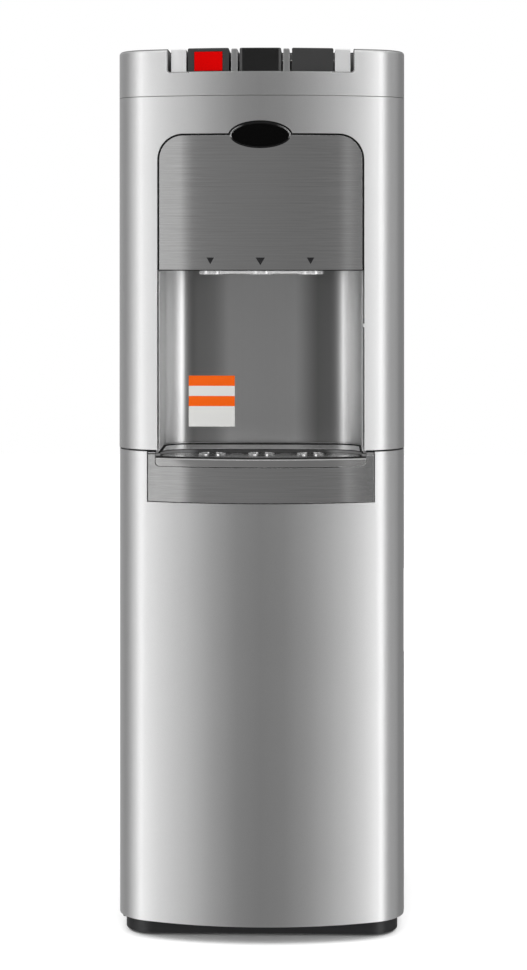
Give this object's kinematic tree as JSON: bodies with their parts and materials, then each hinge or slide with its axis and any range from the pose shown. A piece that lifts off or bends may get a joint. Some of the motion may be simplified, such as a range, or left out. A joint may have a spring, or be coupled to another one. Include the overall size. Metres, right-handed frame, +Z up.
{
  "type": "bottom load water cooler",
  "caption": "Floor-standing water cooler with a bowed front, dispensing niche over a drip tray, top push buttons and a hinged door that hides the bottle.",
  "frame": {"origin": "centre of the bounding box's bottom face, on the floor under the cooler", "axes": "+X to the right seen from the front, -Y towards the user, +Z up"},
  "size_m": [0.34, 0.37, 1.047],
  "materials": {
    "black_gloss": "polished",
    "black_plastic": "fine texture",
    "black_steel": "enamelled",
    "brushed_steel": "fine horizontal grain",
    "chrome": "bright",
    "clear_lens": "smoked lens",
    "dark_grey_plastic": "satin",
    "foam": "expanded foam",
    "grey_steel": "powder coated",
    "hose": "silicone",
    "label_print": "bare coloured film",
    "liner_white": "moulded",
    "magnet_brown": "ferrite strip",
    "red_plastic": "gloss",
    "rubber": "moulded",
    "satin_steel": "satin",
    "silver_paint": "metallic silver, semi gloss",
    "spring_steel": "drawn",
    "stainless": "rolled",
    "zinc_steel": "zinc plated"
  },
  "bodies": {
    "root": {"badge_bezel": "chrome", "badge_face": "black_gloss", "base_tray": "black_plastic", "blank_label": "label_print", "button_hinge_rod": "stainless", "cold_button_spring": "spring_steel", "cold_tank": "stainless", "compressor": "black_steel", "compressor_grommets": "rubber", "condenser": "black_steel", "condenser_brackets": "black_plastic", "console_base": "black_plastic", "console_trim": "silver_paint", "control_box": "grey_steel", "cover_screws": "zinc_steel", "dip_tube": "stainless", "door_hinge_brackets": "zinc_steel", "door_magnet": "magnet_brown", "front_frame": "grey_steel", "front_panel": "brushed_steel", "hot_button_spring": "spring_steel", "hot_tank": "stainless", "indicator_lenses": "clear_lens", "left_side_panel": "silver_paint", "micro_switches": "black_plastic", "mid_shelf": "zinc_steel", "niche_liner": "satin_steel", "nozzle_shroud": "chrome", "probe_cap": "liner_white", "probe_holder": "black_plastic", "rear_cover_lower": "grey_steel", "rear_cover_upper": "grey_steel", "rear_fittings": "black_plastic", "right_side_panel": "silver_paint", "room_button_spring": "spring_steel", "rubber_feet": "rubber", "side_grip": "black_plastic", "spouts": "chrome", "suction_hose": "hose", "tank_carrier": "zinc_steel", "tank_insulation": "foam", "top_cover": "silver_paint", "tray_fascia": "brushed_steel", "tray_ledge": "silver_paint", "upper_front_housing": "silver_paint", "water_hoses": "hose", "water_pump": "black_plastic"},
    "door": {"door_skin": "silver_paint", "door_liner": "liner_white", "door_strike_plate": "zinc_steel"},
    "drip_tray": {"drip_tray": "satin_steel"},
    "drip_grille": {"drip_grille": "chrome"},
    "hot_button": {"hot_button": "dark_grey_plastic"},
    "room_button": {"room_button": "black_plastic"},
    "cold_button": {"cold_button": "dark_grey_plastic"},
    "hot_safety_catch": {"hot_safety_catch": "red_plastic"},
    "heating_switch": {"heating_switch": "red_plastic"},
    "cooling_switch": {"cooling_switch": "black_gloss"},
    "drain_cap": {"drain_cap": "black_plastic"}
  },
  "joints": [
    {"name": "door_hinge", "type": "hinge", "parent": "root", "child": "door", "pos_m": [-0.158, -0.122, 0.298], "axis": [0, 0, -1], "range_deg": [0, 100]},
    {"name": "drip_tray_slide", "type": "slide", "parent": "root", "child": "drip_tray", "axis": [0, -1, 0], "range_m": [0, 0.08]},
    {"name": "drip_grille_lift", "type": "slide", "parent": "drip_tray", "child": "drip_grille", "axis": [0, 0, 1], "range_m": [0, 0.05]},
    {"name": "hot_button_press", "type": "hinge", "parent": "root", "child": "hot_button", "pos_m": [-0.061, -0.114, 1.036], "axis": [1, 0, 0], "range_deg": [0, 5], "stiffness_Nm_per_rad": 1.2, "springref_deg": -5.73, "deforming": ["hot_button_spring"]},
    {"name": "room_button_press", "type": "hinge", "parent": "root", "child": "room_button", "pos_m": [0, -0.114, 1.036], "axis": [1, 0, 0], "range_deg": [0, 5], "stiffness_Nm_per_rad": 1.2, "springref_deg": -5.73, "deforming": ["room_button_spring"]},
    {"name": "cold_button_press", "type": "hinge", "parent": "root", "child": "cold_button", "pos_m": [0.061, -0.114, 1.036], "axis": [1, 0, 0], "range_deg": [0, 5], "stiffness_Nm_per_rad": 1.2, "springref_deg": -5.73, "deforming": ["cold_button_spring"]},
    {"name": "hot_safety_catch_push", "type": "slide", "parent": "hot_button", "child": "hot_safety_catch", "axis": [0, 1, 0], "range_m": [0, 0.004], "stiffness_N_per_m": 150, "springref_m": -0.004},
    {"name": "heating_switch_rock", "type": "hinge", "parent": "root", "child": "heating_switch", "pos_m": [-0.118, 0.163, 0.915], "axis": [1, 0, 0], "range_deg": [0, 14]},
    {"name": "cooling_switch_rock", "type": "hinge", "parent": "root", "child": "cooling_switch", "pos_m": [-0.084, 0.163, 0.915], "axis": [1, 0, 0], "range_deg": [0, 14]},
    {"name": "drain_cap_pull", "type": "slide", "parent": "root", "child": "drain_cap", "axis": [0, 1, 0], "range_m": [0, 0.02]}
  ]
}
